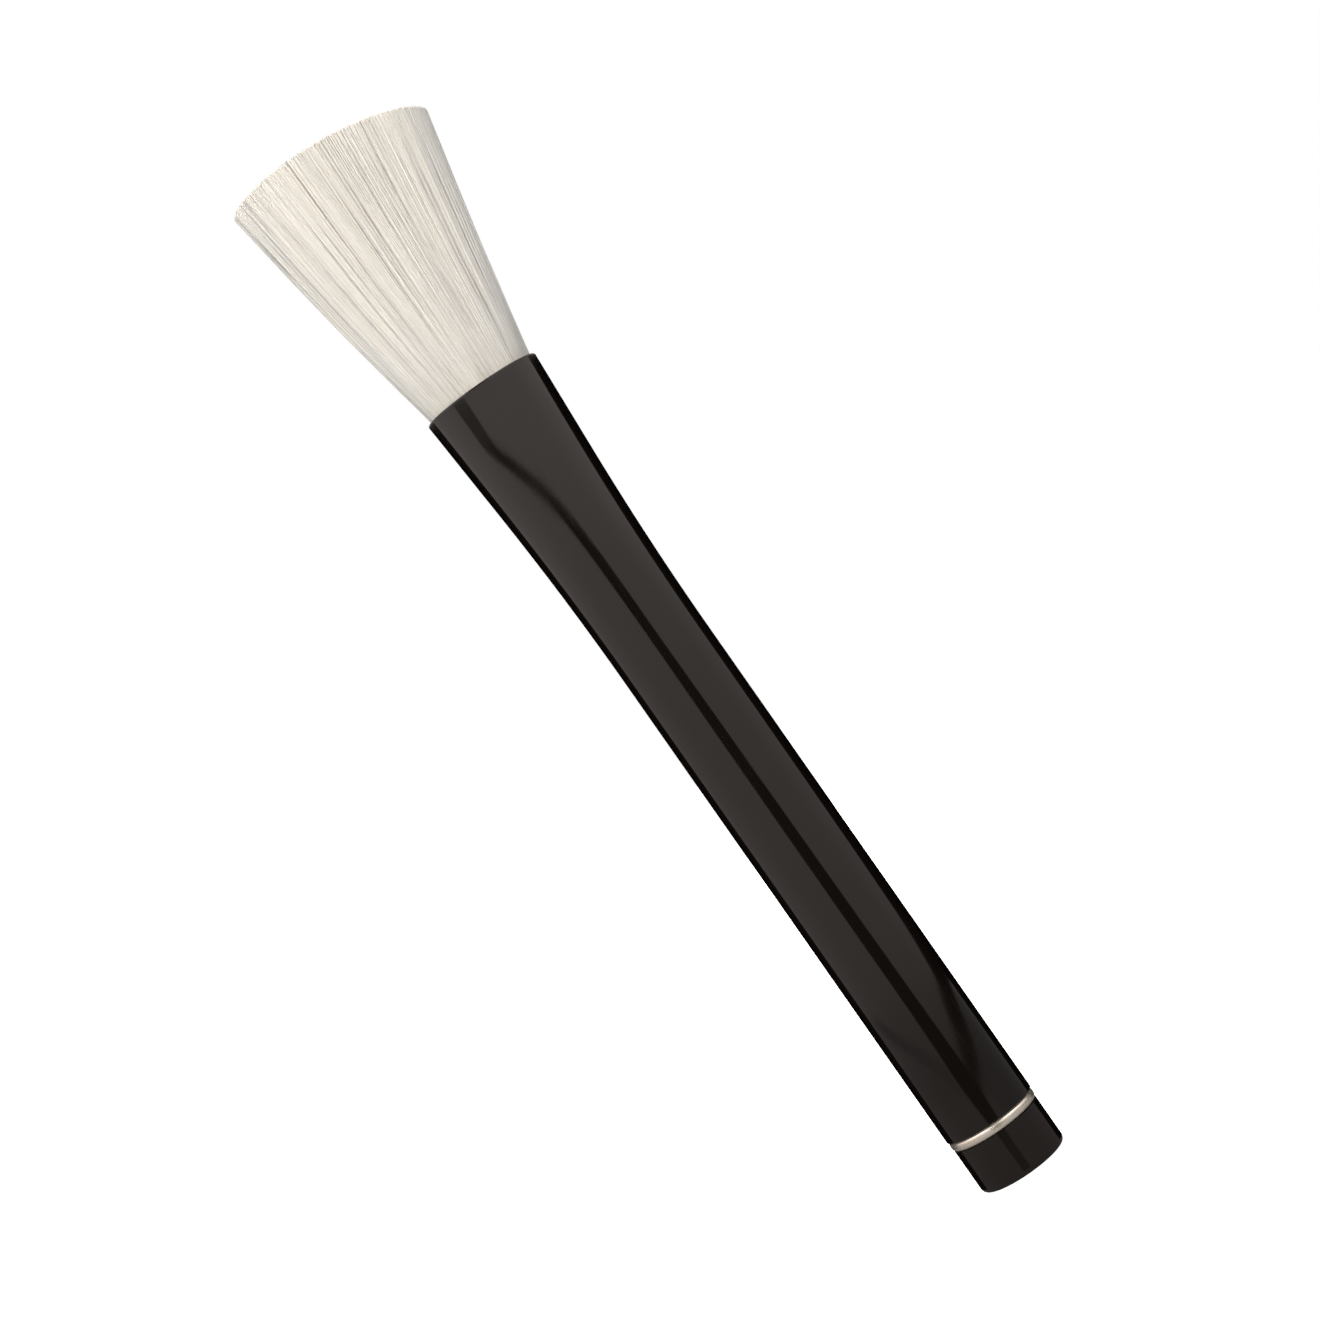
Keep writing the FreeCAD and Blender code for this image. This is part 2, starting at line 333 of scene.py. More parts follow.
def makeSleeve(material):
    start, end = sleeveSet["straightEnd"], sleeveSet["curveEnd"]
    wall, butt, lip = sleeveSet["wall"], sleeveSet["buttRound"], sleeveSet["mouthRound"]
    hold, curveSteps = sleeveSet["hold"], sleeveSet["curveSteps"]
    coneSteps, boreSteps = sleeveSet["coneSteps"], sleeveSet["boreSteps"]
    slope = handleOutline(mouthHeight)[1]
    lipMiddle = mouthHeight - lip
    lipBase = lipMiddle - lip * math.sin(slope)  # the rounding starts in line with the cone
    lipRadius = handleOutline(lipBase)[0] - lip * math.cos(slope)
    innerLip = mouthRadius - sleeveSet["mouthWall"]

    outside = [start + (end - start) * step / curveSteps for step in range(curveSteps + 1)]
    outside += [end + (lipBase - end) * step / coneSteps for step in range(1, coneSteps)]
    outside += [lipBase - hold]
    bore = [end - (end - start) * step / boreSteps for step in range(boreSteps + 1)]
    profile = [(barrelRadius - wall, sleeveBase)]
    profile += roundCorner(barrelRadius - butt, sleeveBase + butt, butt, -90, 0, 4)
    profile += [(barrelRadius, sleeveBase + butt + hold)]
    profile += [(barrelRadius, start * share) for share in (0.3, 0.6, 0.9)]
    profile += [(handleOutline(height)[0], height) for height in outside]
    profile += roundCorner(lipRadius, lipMiddle, lip, -math.degrees(slope), 90, 8)
    profile += roundCorner(innerLip + lip, lipMiddle, lip, 90, 180, 8)
    profile += [(handleOutline(height)[0] - wall, height) for height in bore]
    profile += [profile[0]]
    sleeve = turnUp("lacqueredSleeve", profile, sleeveSet["sides"], hollow=True)
    dress(sleeve, material)
    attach(sleeve, "root")
    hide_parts("handle_sleeve")


# pale gold: satin plate with fine lines left by turning
goldSet = {
    "bright": (0.93, 0.885, 0.80),
    "deep": (0.84, 0.74, 0.58),
    "metal": 0.88,
    "gloss": (0.22, 0.32),
    "lineStretch": (30, 30, 4000),
    "lineScale": 9.0,
    "lineHeight": 0.002 * mm,
    "cloudScale": 420,
}


def makeGold():
    material, tree, shader = newMaterial("paleGold")
    lines = noiseOn(tree, stretchedCoords(tree, goldSet["lineStretch"]), goldSet["lineScale"], 3)
    cloud = noiseOn(tree, stretchedCoords(tree, (1, 1, 1)), goldSet["cloudScale"], 4)
    colour = mixColours(tree, spread(tree, cloud, 0.35, 0.7, 0, 0.5), goldSet["bright"], goldSet["deep"])
    tree.links.new(colour, shader.inputs["Base Color"])
    addGloss(tree, shader, lines, goldSet["gloss"])
    shader.inputs["Metallic"].default_value = goldSet["metal"]
    addBump(tree, shader, lines, 0.6, goldSet["lineHeight"])
    return material


# plated steel stud inside the cap, with a real thread
studSet = {
    "pitch": 0.70 * mm,
    "depth": 0.43 * mm,
    "steps": 24,
    "section": [  # one turn of the thread, in shares of its pitch
        ("root", 0), ("root", 0.15), ("crest", 0.50), ("crest", 0.65), ("root", 1),
    ],
    "steel": (0.56, 0.57, 0.58),
    "dull": (0.42, 0.43, 0.45),
    "patchScale": 700,
    "gloss": (0.25, 0.42),
}


def makeStud():
    material, tree, shader = newMaterial("platedSteel")
    patches = noiseOn(tree, stretchedCoords(tree, (1, 1, 1)), studSet["patchScale"], 4)
    colour = mixColours(tree, patches, studSet["steel"], studSet["dull"])
    tree.links.new(colour, shader.inputs["Base Color"])
    addGloss(tree, shader, patches, studSet["gloss"])
    shader.inputs["Metallic"].default_value = 1.0
    low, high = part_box("cap_stud")
    pitch = studSet["pitch"]
    radii = {"crest": high[0], "root": high[0] - studSet["depth"]}
    turns = int((high[2] - low[2]) / pitch) - 1
    base = (low[2] + high[2] - (turns + 1) * pitch) / 2
    points = [(radii[where], 0, base + share * pitch) for where, share in studSet["section"]]
    stud = drawLine("threadedStud", points)
    spiralUp(stud, pitch, turns, studSet["steps"])
    dress(stud, material)
    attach(stud, "root")
    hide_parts("cap_stud")


# waxed linen thread wound round the roots of the hair
bindingSet = {
    "thread": 0.32 * mm,
    "turns": 4,
    "steps": 56,
    "sides": 10,
    "linen": (0.74, 0.67, 0.54),
    "dark": (0.55, 0.47, 0.34),
    "gloss": 0.55,
    "twistScale": 900,
    "twistHeight": 0.04 * mm,
}


def makeBinding():
    material, tree, shader = newMaterial("waxedThread")
    twist = tree.nodes.new("ShaderNodeTexWave")
    twist.bands_direction = "DIAGONAL"
    setInputs(twist, {"Scale": bindingSet["twistScale"], "Distortion": 2.0, "Detail": 2.0})
    tree.links.new(stretchedCoords(tree, (1, 1, 1)), twist.inputs["Vector"])
    colour = mixColours(tree, twist.outputs["Fac"], bindingSet["dark"], bindingSet["linen"])
    tree.links.new(colour, shader.inputs["Base Color"])
    addBump(tree, shader, twist.outputs["Fac"], 0.8, bindingSet["twistHeight"])
    shader.inputs["Roughness"].default_value = bindingSet["gloss"]
    low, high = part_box("tuft_binding")
    thread, turns = bindingSet["thread"], bindingSet["turns"]
    rise = (high[2] - low[2] - 2 * thread) / turns
    deselectAll()
    bpy.ops.mesh.primitive_circle_add(
        vertices=bindingSet["sides"], radius=thread, location=(high[0] - thread, 0, low[2] + thread),
        rotation=(math.pi / 2, 0, 0))
    binding = nameActive("woundBinding")
    bpy.ops.object.transform_apply(location=True, rotation=True)
    spiralUp(binding, rise, turns, bindingSet["steps"])
    dress(binding, material)
    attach(binding, "root")
    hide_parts("tuft_binding")


# turned beech core: faint growth rings and short dark flecks
beechSet = {
    "pale": (0.64, 0.44, 0.27),
    "warm": (0.50, 0.32, 0.18),
    "fleck": (0.36, 0.21, 0.11),
    "heart": (0.019, 0.006, 0),  # the heart of the log lies this far from the dowel's axis
    "ringScale": 260,
    "fleckScale": 5200,
    "fleckSpan": (0.56, 0.66),  # only the noise's peaks are flecks
    "fleckDepth": 0.7,
    "gloss": (0.6, 0.75),
    "grainHeight": 0.02 * mm,
}


def makeBeech():
    material, tree, shader = newMaterial("turnedBeech")
    growth = tree.nodes.new("ShaderNodeTexWave")
    growth.wave_type = "RINGS"
    growth.rings_direction = "Z"
    setInputs(growth, {"Scale": beechSet["ringScale"], "Distortion": 3.0})
    setInputs(growth, {"Detail": 3.0, "Detail Scale": 1.5})
    tree.links.new(stretchedCoords(tree, (1, 1, 0.04), beechSet["heart"]), growth.inputs["Vector"])
    wood = mixColours(tree, growth.outputs["Fac"], beechSet["pale"], beechSet["warm"])
    flecks = noiseOn(tree, stretchedCoords(tree, (1, 0.25, 0.08)), beechSet["fleckScale"], 2)
    fleckMask = spread(tree, flecks, *beechSet["fleckSpan"], 0, beechSet["fleckDepth"])
    tree.links.new(mixColours(tree, fleckMask, wood, beechSet["fleck"]), shader.inputs["Base Color"])
    addGloss(tree, shader, flecks, beechSet["gloss"])
    addBump(tree, shader, flecks, 0.5, beechSet["grainHeight"])
    return material


# bare aluminium cup, with the long lines that drawing leaves
aluminiumSet = {
    "bright": (0.80, 0.80, 0.81),
    "dull": (0.66, 0.66, 0.67),
    "lineScale": 4200,
    "lineHeight": 0.004 * mm,
    "gloss": (0.28, 0.45),
}


def makeAluminium():
    material, tree, shader = newMaterial("drawnAluminium")
    lines = noiseOn(tree, stretchedCoords(tree, (1, 1, 0.02)), aluminiumSet["lineScale"], 3)
    colour = mixColours(tree, lines, aluminiumSet["bright"], aluminiumSet["dull"])
    tree.links.new(colour, shader.inputs["Base Color"])
    addGloss(tree, shader, lines, aluminiumSet["gloss"])
    shader.inputs["Metallic"].default_value = 1.0
    addBump(tree, shader, lines, 0.5, aluminiumSet["lineHeight"])
    return material


# cast amber resin that holds the roots
resinSet = {
    "pale": (0.62, 0.38, 0.13),
    "dark": (0.40, 0.20, 0.05),
    "cloudScale": 500,
    "cloudHeight": 0.02 * mm,
    "gloss": (0.08, 0.2),
}


def makeResin():
    material, tree, shader = newMaterial("amberResin")
    cloud = noiseOn(tree, stretchedCoords(tree, (1, 1, 1)), resinSet["cloudScale"], 5)
    tree.links.new(mixColours(tree, cloud, resinSet["pale"], resinSet["dark"]), shader.inputs["Base Color"])
    addGloss(tree, shader, cloud, resinSet["gloss"])
    addBump(tree, shader, cloud, 0.3, resinSet["cloudHeight"])
    shader.inputs["IOR"].default_value = 1.55
    return material


# cream hair: each strand has its own tone, with painted shade near the mouth, where the hair is coloured
# darker and warmer towards its root
hairTones = {
    "pale": (0.88, 0.83, 0.755),
    "warm": (0.80, 0.725, 0.62),
    # the painted shade colour that the hair darkens to at the mouth, and how far up and how strongly it is
    # painted
    "root": (0.62, 0.545, 0.44),
    "rootShadeReach": 6 * mm,
    "rootShade": 0.40,
    "toneSpan": (0.1, 0.55),  # from pale to warm, strand by strand
    "streakSpan": (0.05, 0.3),  # and along each strand
    "streakScale": 1500,
    "surface": {"Roughness": 0.5, "IOR": 1.45, "Specular IOR Level": 0.3},
    "glowThrough": {
        "Subsurface Weight": 0.7, "Subsurface Scale": 0.5 * mm, "Subsurface Radius": (1.0, 0.9, 0.8),
    },
}


def makeHairMaterial():
    material, tree, shader = newMaterial("creamHair")
    tone = tree.nodes.new("ShaderNodeAttribute")
    tone.attribute_name = "tone"
    streaks = noiseOn(tree, stretchedCoords(tree, (1, 1, 0.05)), hairTones["streakScale"], 3)
    strandTone = spread(tree, tone.outputs["Fac"], 0, 1, *hairTones["toneSpan"])
    streakTone = spread(tree, streaks, *noiseSpan, *hairTones["streakSpan"])
    both = combine(tree, "ADD", strandTone, streakTone)
    body = mixColours(tree, both, hairTones["pale"], hairTones["warm"])
    # painted shade: the colour darkens towards the mouth, standing in for the shade that falls there
    shadeEnd = mouthHeight + hairTones["rootShadeReach"]
    mouthShade = spread(tree, placeAxes(tree)["Z"], mouthHeight, shadeEnd, hairTones["rootShade"], 0)
    tree.links.new(mixColours(tree, mouthShade, body, hairTones["root"]), shader.inputs["Base Color"])
    setInputs(shader, hairTones["surface"])
    setInputs(shader, hairTones["glowThrough"])
    return material


# the hair: a bound knot inside, rows of long strands outside it, and a field of trimmed ends on top
hairSet = {
    "seed": 5,
    "rootRadius": 8.02 * mm,
    "tipRadius": 14.95 * mm,
    "leanStart": 142 * mm,
    "lean": 0.75 * mm,  # the tuft has been pushed to the right by this at its tip
    "trimSlope": 0.083,  # and is cut slightly longer on the left
    "peak": 0.5 * mm,
    "crown": 0.9 * mm,  # how far the trim falls away to the sides
    "crownFront": 0.3,  # and the share of that to front and back
}
knotSet = {
    "sides": 96,
    "bundle": 6.0 * mm,  # radius in the cup
    "waist": 5.3 * mm,  # radius under the binding, between two heights above the roots
    "waistLow": 1.6 * mm,
    "waistHigh": 5.1 * mm,
    "throat": 7.1 * mm,  # radius a little below the mouth
    "throatDepth": 5 * mm,
    "gap": 0.05 * mm,  # between the knot and the innermost row of strands
    "shares": (0, 0.5, 0.93),  # from mouth to tip, where the knot spreads with the strands
    "tipInset": 1.3 * mm,
    "tipDepth": 1.4 * mm,
    "tone": 0.6,
}
rowSet = {
    "rows": 6,
    "perRow": 640,
    "gap": 0.09 * mm,
    "strand": 0.085 * mm,
    "shares": (-0.04, 0.2, 0.45, 0.7, 1.0),  # from mouth to tip, where a strand has its points
    "rootInset": 0.6,  # rows lie closer at the root, by this share of their gap
    "jitter": 0.7,
    "rootStray": 0.04 * mm,
    "tipStray": 0.06 * mm,
    "trimStray": 0.10 * mm,
    "wander": 0.05 * mm,
}
fieldSet = {
    "pitch": 0.240 * mm,
    "rowShare": 0.866,  # rows of a triangular grid lie this share of the pitch apart
    "strand": 0.125 * mm,
    "shares": (0.9, 0.96, 1.0),
    "stray": 0.05 * mm,
    "trimStray": 0.12 * mm,
    "wander": 0.02 * mm,
}


def leanAt(height):  # how far the tuft leans to the right, slowly at first
    share = max(0.0, (height - hairSet["leanStart"]) / (cadHigh[2] - hairSet["leanStart"]))
    return hairSet["lean"] * share * min(1.0, 0.6 + 0.4 * share)


def trimHeight(x, y):
    fall = (x * x + hairSet["crownFront"] * y * y) / hairSet["tipRadius"] ** 2
    return cadHigh[2] + hairSet["peak"] - hairSet["trimSlope"] * x - hairSet["crown"] * fall


def strandPoints(draw, angle, rootRadius, tipRadius, shares, wander, trim):
    swerve = draw.gauss(0, wander)
    drift = draw.gauss(0, wander)
    tipX, tipY = tipRadius * math.sin(angle), -tipRadius * math.cos(angle)
    top = trimHeight(tipX, tipY) + trim
    points = []
    for share in shares:
        height = mouthHeight + (top - mouthHeight) * share
        radius = rootRadius + (tipRadius - rootRadius) * share
        radius += drift * math.sin(math.pi * max(share, 0))
        turned = angle + swerve * math.sin(2.2 * max(share, 0)) / max(radius, 2 * mm)
        points.append((radius * math.sin(turned) + leanAt(height), -radius * math.cos(turned), height))
    return points


def addTones(piece, values):
    tone = piece.data.attributes.new("tone", "FLOAT", "POINT")
    tone.data.foreach_set("value", values)


def finishHair(piece):
    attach(piece, "root")
    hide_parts("bristle_tuft")


def growStrands(name, strands, thickness, tones, material):
    curve = bpy.data.curves.new(name, "CURVE")
    curve.dimensions = "3D"
    curve.bevel_depth = thickness
    curve.bevel_resolution = 0
    curve.use_fill_caps = True
    for points in strands:
        spline = curve.splines.new("POLY")
        spline.points.add(len(points) - 1)
        spline.points.foreach_set("co", [value for point in points for value in (*point, 1)])
    deselectAll()
    piece = bpy.data.objects.new(name, curve)
    bpy.context.scene.collection.objects.link(piece)
    piece.select_set(True)
    bpy.context.view_layer.objects.active = piece
    bpy.ops.object.convert(target="MESH")
    piece = nameActive(name)
    bpy.ops.object.shade_smooth()
    count = len(piece.data.vertices)
    perStrand = count // len(strands)
    addTones(piece, [tones[index // perStrand] for index in range(count)])
    dress(piece, material)
    finishHair(piece)
    print(name, len(strands), "strands", len(piece.data.polygons), "faces")


def makeKnot(material):
    rootRadius, tipRadius = hairSet["rootRadius"], hairSet["tipRadius"]
    bundle, waist = knotSet["bundle"], knotSet["waist"]
    low, high = rootBase + knotSet["waistLow"], rootBase + knotSet["waistHigh"]
    inside = rootRadius - (rowSet["rows"] * rowSet["gap"] + knotSet["gap"])
    profile = [(bundle, rootBase), (bundle, low), (waist, low), (waist, high), (bundle, high)]
    profile += [(knotSet["throat"], mouthHeight - knotSet["throatDepth"])]
    for share in knotSet["shares"]:
        profile += [(inside + share * (tipRadius - rootRadius), mouthHeight + share * hairLength)]
    profile += [(tipRadius - knotSet["tipInset"], cadHigh[2] - knotSet["tipDepth"])]
    knot = turnUp("hairKnot", profile, knotSet["sides"])
    for vertex in knot.data.vertices:  # its top follows the trim and the lean
        share = max(0, (vertex.co.z - mouthHeight) / hairLength)
        vertex.co.z -= hairSet["trimSlope"] * vertex.co.x * share ** 4
        vertex.co.x += leanAt(vertex.co.z)
    addTones(knot, [knotSet["tone"]] * len(knot.data.vertices))
    dress(knot, material)
    finishHair(knot)


def makeRows(draw, material):
    rootRadius, tipRadius = hairSet["rootRadius"], hairSet["tipRadius"]
    strands, tones = [], []
    for row in range(rowSet["rows"]):
        inset = row * rowSet["gap"]
        for count in range(rowSet["perRow"]):
            angle = 2 * math.pi * (count + row / 2 + rowSet["jitter"] * draw.random()) / rowSet["perRow"]
            root = rootRadius - inset * rowSet["rootInset"] - abs(draw.gauss(0, rowSet["rootStray"]))
            tip = tipRadius - inset - abs(draw.gauss(0, rowSet["tipStray"]))
            trim = draw.gauss(0, rowSet["trimStray"])
            strands.append(strandPoints(draw, angle, root, tip, rowSet["shares"], rowSet["wander"], trim))
            tones.append(draw.random())
    growStrands("hairOuter", strands, rowSet["strand"], tones, material)


def fieldSpots():  # a triangular grid over the top, inside the rows
    pitch, rowShare = fieldSet["pitch"], fieldSet["rowShare"]
    fieldRadius = hairSet["tipRadius"] - rowSet["rows"] * rowSet["gap"]
    rows = int(fieldRadius / (pitch * rowShare)) + 1
    spots = []
    for row in range(-rows, rows + 1):
        for column in range(-rows - rows // 2, rows + rows // 2 + 1):
            x = (column + 0.5 * (row % 2)) * pitch
            y = row * pitch * rowShare
            if math.hypot(x, y) < fieldRadius:
                spots.append((x, y))
    return spots


def makeField(name, draw, spots, material):
    strands, tones = [], []
    for x, y in spots:
        x += draw.gauss(0, fieldSet["stray"])
        y += draw.gauss(0, fieldSet["stray"])
        tip = math.hypot(x, y)
        angle = math.atan2(x, -y)
        root = tip * hairSet["rootRadius"] / hairSet["tipRadius"]
        trim = draw.gauss(0, fieldSet["trimStray"])
        strands.append(strandPoints(draw, angle, root, tip, fieldSet["shares"], fieldSet["wander"], trim))
        tones.append(draw.random())
    growStrands(name, strands, fieldSet["strand"], tones, material)


def makeHair(material):
    draw = random.Random(hairSet["seed"])
    makeKnot(material)
    makeRows(draw, material)
    spots = fieldSpots()
    makeField("hairFieldLeft", draw, [spot for spot in spots if spot[0] < 0], material)
    makeField("hairFieldRight", draw, [spot for spot in spots if spot[0] >= 0], material)


# studio: white room, pale floor, and a tent whose dark slit, flaps and hem are seen only in the gloss
studioSet = {
    "wallRadius": 0.210,
    "wallBase": -0.25,
    "wallTop": 0.45,
    "wallSides": 128,
    "wallColour": (1.0, 0.90, 0.86),
    "wallGlow": [  # (height on the wall, brightness)
        (-0.250, 0.26), (-0.060, 0.30), (-0.036, 0.32), (-0.027, 0.35), (-0.020, 0.33), (-0.014, 0.37),
        (-0.004, 0.47), (0.007, 0.60), (0.027, 0.69), (0.060, 0.76), (0.086, 0.84), (0.097, 0.95),
        (0.110, 1.04), (0.200, 1.08), (0.450, 1.10),
    ],
    "wallFade": (2.0, 1.1),  # how much brighter the wall is in front than behind
    "wallFadeReach": (-0.1, 0.8),  # from front to back, in shares of its radius
    "cardRadius": 0.200,
    "cardAcross": 12,
    "cardSteps": 4,
    "panelAcross": 16,
    "roomGlow": 0.45,
    "roomColour": (0.95, 0.975, 1.0),
    "lampAim": (0, 0, 0.12),
}
floorSet = {
    "radius": 1.6,
    "sides": 96,
    "drop": 0.05 * mm,  # it lies this far under the butt
    "paint": {"Base Color": (0.8, 0.8, 0.8, 1), "Roughness": 0.9},
    "glow": {"Emission Color": (1, 1, 1, 1), "Emission Strength": 0.85},
}
cardGlows = {
    "blackCard": ((0, 0, 0), 0.0),
    "duskCard": ((1, 0.95, 0.92), 0.10),
    "greyCard": ((1, 0.95, 0.92), 0.26),
    "softbox": ((1.0, 0.97, 0.93), 2.1),
}
cardLayers = [  # glow, how far it hangs behind the first layer, and its cards
    ("blackCard", 0, ("slitLow", "rightFlap", "rightEdge", "leftFlap")),
    ("duskCard", 0, ("slitButt",)),
    ("greyCard", 2 * mm, ("slitHigh", "leftHem", "rightShade")),
]
# what the cards cover, as (height on the handle in mm, from degree, to degree) round from the front
cardRows = {
    "slitButt": [(-4, -5, 5), (3, -5, 5), (7.6, -5.5, 5.5)],
    "slitLow": [
        (7.6, -6, 6), (10, -6.8, 7), (14, -8.6, 9), (18, -7.8, 9), (24, -6.6, 8.5), (30, -6.2, 8),
        (46, -6.2, 7), (66, -6, 6), (87, -5.4, 5), (95, -5.6, 4.8), (102, -6.4, 4), (107, -8.4, 1.8),
        (111, -12.6, -2), (114.5, -18.8, -7.4), (118, -26, -14.8), (120.6, -32, -22),
    ],
    "slitHigh": [(120.4, -31.5, -20), (122, -30.5, -19), (128, -29, -16.5)],
    "rightFlap": [
        (11.5, -3, 6), (13.8, -1, 14), (16.5, 6, 26), (20.5, 19, 40), (25.5, 32, 54), (28.4, 42, 70),
        (31, 46, 88), (38, 52, 88), (60, 55, 88), (100, 56, 88), (118, 58, 88), (128, 61, 88),
    ],
    "rightEdge": [(-4, 62, 88), (31, 62, 88)],
    "leftFlap": [(-4, -88, -63), (31, -88, -60), (128, -88, -62)],
    "leftHem": [(13, -12, -2), (16.5, -19, -7), (20.5, -30, -15), (24.5, -47, -31), (28.5, -62, -45)],
    "rightShade": [(8, 13, 62), (14, 18, 62), (16.5, 28, 62), (20.5, 42, 62), (25, 55, 62)],
}
panels = {  # glow, from degree, to degree, low edge, high edge
    "softboxLeft": ("softbox", -95, -26, 0.16, 0.34),
    "softboxRight": ("softbox", 26, 80, 0.16, 0.34),
    "slitTop": ("duskCard", -17, 17, 0.14, 0.44),
}
lamps = {  # place, size, power, colour
    "keyLamp": ((-0.115, -0.66, 0.20), 0.45, 5.65, (1.0, 0.94, 0.88)),
    "fillLamp": ((0.34, -0.60, 0.24), 0.35, 0.85, (1.0, 0.95, 0.90)),
    "topLamp": ((0.05, 0.25, 0.85), 0.40, 4.5, (1.0, 0.96, 0.91)),
    "backLamp": ((-0.05, 0.70, 0.30), 0.40, 3.5, (1.0, 0.95, 0.88)),
}


def mirrorSpot(camera, angle, height, reach):  # the spot on a wall that the handle mirrors to the camera
    radius, tilt = handleOutline(height)
    turn = math.radians(angle)
    point = Vector((radius * math.sin(turn), -radius * math.cos(turn), height))
    normal = Vector((math.sin(turn), -math.cos(turn), -tilt)).normalized()
    toCamera = (camera.location - point).normalized()
    ray = 2 * normal.dot(toCamera) * normal - toCamera
    a = ray.x ** 2 + ray.y ** 2
    b = 2 * (point.x * ray.x + point.y * ray.y)
    c = point.x ** 2 + point.y ** 2 - reach ** 2
    return point + ray * (-b + math.sqrt(b * b - 4 * a * c)) / (2 * a)


def glowMaterial(name, colour, strength):
    material, _, glow = newMaterial(name, "ShaderNodeEmission")
    setInputs(glow, {"Color": (*colour, 1), "Strength": strength})
    return material


def makeWallMaterial():  # brighter towards the top and towards the front
    material, tree, glow = newMaterial("tentWall", "ShaderNodeEmission")
    glow.inputs["Color"].default_value = (*studioSet["wallColour"], 1)
    rows = studioSet["wallGlow"]
    low, high = rows[0][0], rows[-1][0]
    ramp = tree.nodes.new("ShaderNodeFloatCurve")
    points = ramp.mapping.curves[0].points
    spots = [((height - low) / (high - low), glowing / 2) for height, glowing in rows]
    points[0].location, points[-1].location = spots[0], spots[-1]
    for spot in spots[1:-1]:
        points.new(*spot)
    ramp.mapping.update()
    place = placeAxes(tree)
    tree.links.new(spread(tree, place["Z"], low, high, 0, 1), ramp.inputs["Value"])
    front, back = [share * studioSet["wallRadius"] for share in studioSet["wallFadeReach"]]
    fade = spread(tree, place["Y"], front, back, *studioSet["wallFade"])
    tree.links.new(combine(tree, "MULTIPLY", ramp.outputs["Value"], fade), glow.inputs["Strength"])
    return material


def showOnlyInGloss(thing):
    thing.visible_camera = False
    thing.visible_diffuse = False
    thing.visible_transmission = False
    thing.visible_volume_scatter = False
    thing.visible_shadow = False


def smoothRows(rows, steps):  # fills in between the rows along a smooth line
    filled = []
    for index in range(len(rows) - 1):
        before = rows[max(index - 1, 0)]
        start, end = rows[index], rows[index + 1]
        after = rows[min(index + 2, len(rows) - 1)]
        for step in range(steps):
            t = step / steps
            span = end[0] - start[0]
            row = [start[0] + span * t]
            for side in (1, 2):
                slopeIn = (end[side] - before[side]) / (end[0] - before[0]) * span
                slopeOut = (after[side] - start[side]) / (after[0] - start[0]) * span
                row.append(
                    start[side] * (2 * t ** 3 - 3 * t ** 2 + 1) + slopeIn * (t ** 3 - 2 * t ** 2 + t)
                    + end[side] * (3 * t ** 2 - 2 * t ** 3) + slopeOut * (t ** 3 - t ** 2)
                )
            filled.append(tuple(row))
    filled.append(rows[-1])
    return filled


def addGrid(name, across, up):
    deselectAll()
    bpy.ops.mesh.primitive_grid_add(x_subdivisions=across, y_subdivisions=up, size=2)
    return nameActive(name)


def hangCard(name, camera, material, reach):
    rows = smoothRows(cardRows[name], studioSet["cardSteps"])
    across = studioSet["cardAcross"]
    card = addGrid(name, across, len(rows) - 1)
    for index, vertex in enumerate(card.data.vertices):
        row, column = divmod(index, across + 1)
        height, start, end = rows[row]
        vertex.co = mirrorSpot(camera, start + (end - start) * column / across, height * mm, reach)
    dress(card, material)
    showOnlyInGloss(card)


def hangPanel(name, material, fromAngle, toAngle, low, high):
    reach, across, up = studioSet["cardRadius"], studioSet["panelAcross"], 2
    panel = addGrid(name, across, up)
    for index, vertex in enumerate(panel.data.vertices):
        row, column = divmod(index, across + 1)
        turn = math.radians(fromAngle + (toAngle - fromAngle) * column / across)
        vertex.co = (reach * math.sin(turn), -reach * math.cos(turn), low + (high - low) * row / up)
    dress(panel, material)
    showOnlyInGloss(panel)


def hangLamp(name, place, size, power, colour):
    data = bpy.data.lights.new(name, "AREA")
    data.shape = "DISK"
    data.size = size
    data.energy = power
    data.color = colour
    lamp = bpy.data.objects.new(name, data)
    bpy.context.scene.collection.objects.link(lamp)
    lamp.location = place
    aim = Vector(studioSet["lampAim"]) - Vector(place)
    lamp.rotation_mode = "QUATERNION"
    lamp.rotation_quaternion = aim.to_track_quat("-Z", "Y")
    lamp.visible_camera = False
    lamp.visible_glossy = False


def makeRoom():  # the camera sees plain white; everything else sees a dimmer, cooler room
    world = bpy.data.worlds.new("whiteRoom")
    bpy.context.scene.world = world
    world.use_nodes = True
    tree = world.node_tree
    room = tree.nodes["Background"]
    path = tree.nodes.new("ShaderNodeLightPath")
    seen = path.outputs["Is Camera Ray"]
    tree.links.new(mixColours(tree, seen, studioSet["roomColour"], (1.0, 1.0, 1.0)), room.inputs["Color"])
    tree.links.new(spread(tree, seen, 0, 1, studioSet["roomGlow"], 1.0), room.inputs["Strength"])


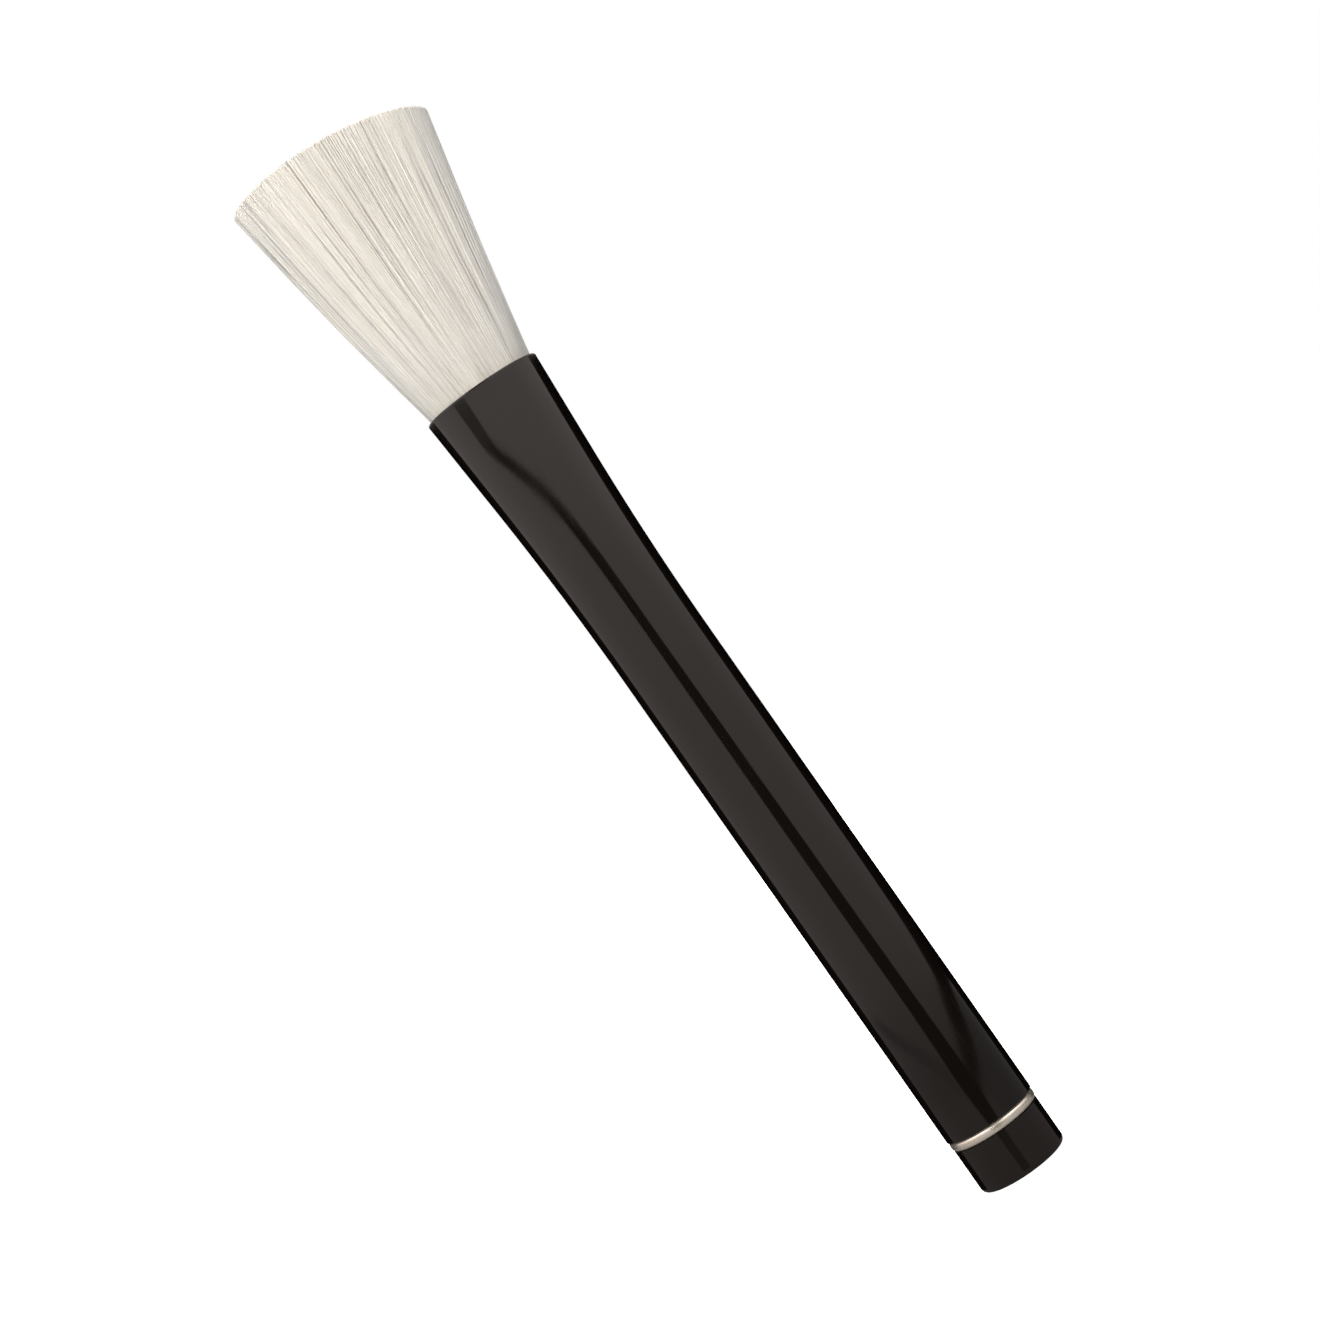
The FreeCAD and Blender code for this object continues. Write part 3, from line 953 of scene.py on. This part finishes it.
def hangTent(camera):
    base, top, reach = studioSet["wallBase"], studioSet["wallTop"], studioSet["cardRadius"]
    deselectAll()
    bpy.ops.mesh.primitive_cylinder_add(
        vertices=studioSet["wallSides"], radius=studioSet["wallRadius"], depth=top - base,
        location=(0, 0, (base + top) / 2))
    wall = nameActive("tentWall")
    bpy.ops.object.transform_apply(location=True)
    dress(wall, makeWallMaterial())
    showOnlyInGloss(wall)
    glows = {name: glowMaterial(name, *look) for name, look in cardGlows.items()}
    for glow, behind, cards in cardLayers:
        for name in cards:
            hangCard(name, camera, glows[glow], reach + behind)
    for name, (glow, *edges) in panels.items():
        hangPanel(name, glows[glow], *edges)


def makeFloor():
    deselectAll()
    bpy.ops.mesh.primitive_circle_add(
        vertices=floorSet["sides"], radius=floorSet["radius"], fill_type="NGON",
        location=(0, 0, -floorSet["drop"]))
    floor = nameActive("paleFloor")
    bpy.ops.object.transform_apply(location=True)
    material, tree, shader = newMaterial("paleFloor")
    setInputs(shader, floorSet["paint"])
    setInputs(shader, floorSet["glow"])
    side = tree.nodes.new("ShaderNodeNewGeometry")
    clear = tree.nodes.new("ShaderNodeBsdfTransparent")
    oneWay = tree.nodes.new("ShaderNodeMixShader")  # the floor can be seen through from below
    tree.links.new(side.outputs["Backfacing"], oneWay.inputs["Fac"])
    tree.links.new(shader.outputs["BSDF"], oneWay.inputs[1])
    tree.links.new(clear.outputs["BSDF"], oneWay.inputs[2])
    tree.links.new(oneWay.outputs["Shader"], tree.get_output_node("ALL").inputs["Surface"])
    dress(floor, material)
    floor.visible_glossy = False
    floor.visible_diffuse = False


bpy.context.scene.view_settings.view_transform = "Standard"
camera = placeCamera()
makeRoom()
hangTent(camera)
for name, lamp in lamps.items():
    hangLamp(name, *lamp)
makeFloor()
print("studio ready")
lacquer = makeLacquer()
makeSleeve(lacquer)
dress(nodes["end_cap"], lacquer)
dress(nodes["trim_ring"], makeGold())
dress(nodes["core_dowel"], makeBeech())
dress(nodes["tuft_cup"], makeAluminium())
dress(nodes["root_plug"], makeResin())
makeStud()
makeBinding()
print("handle dressed")
makeHair(makeHairMaterial())
print("hair grown")
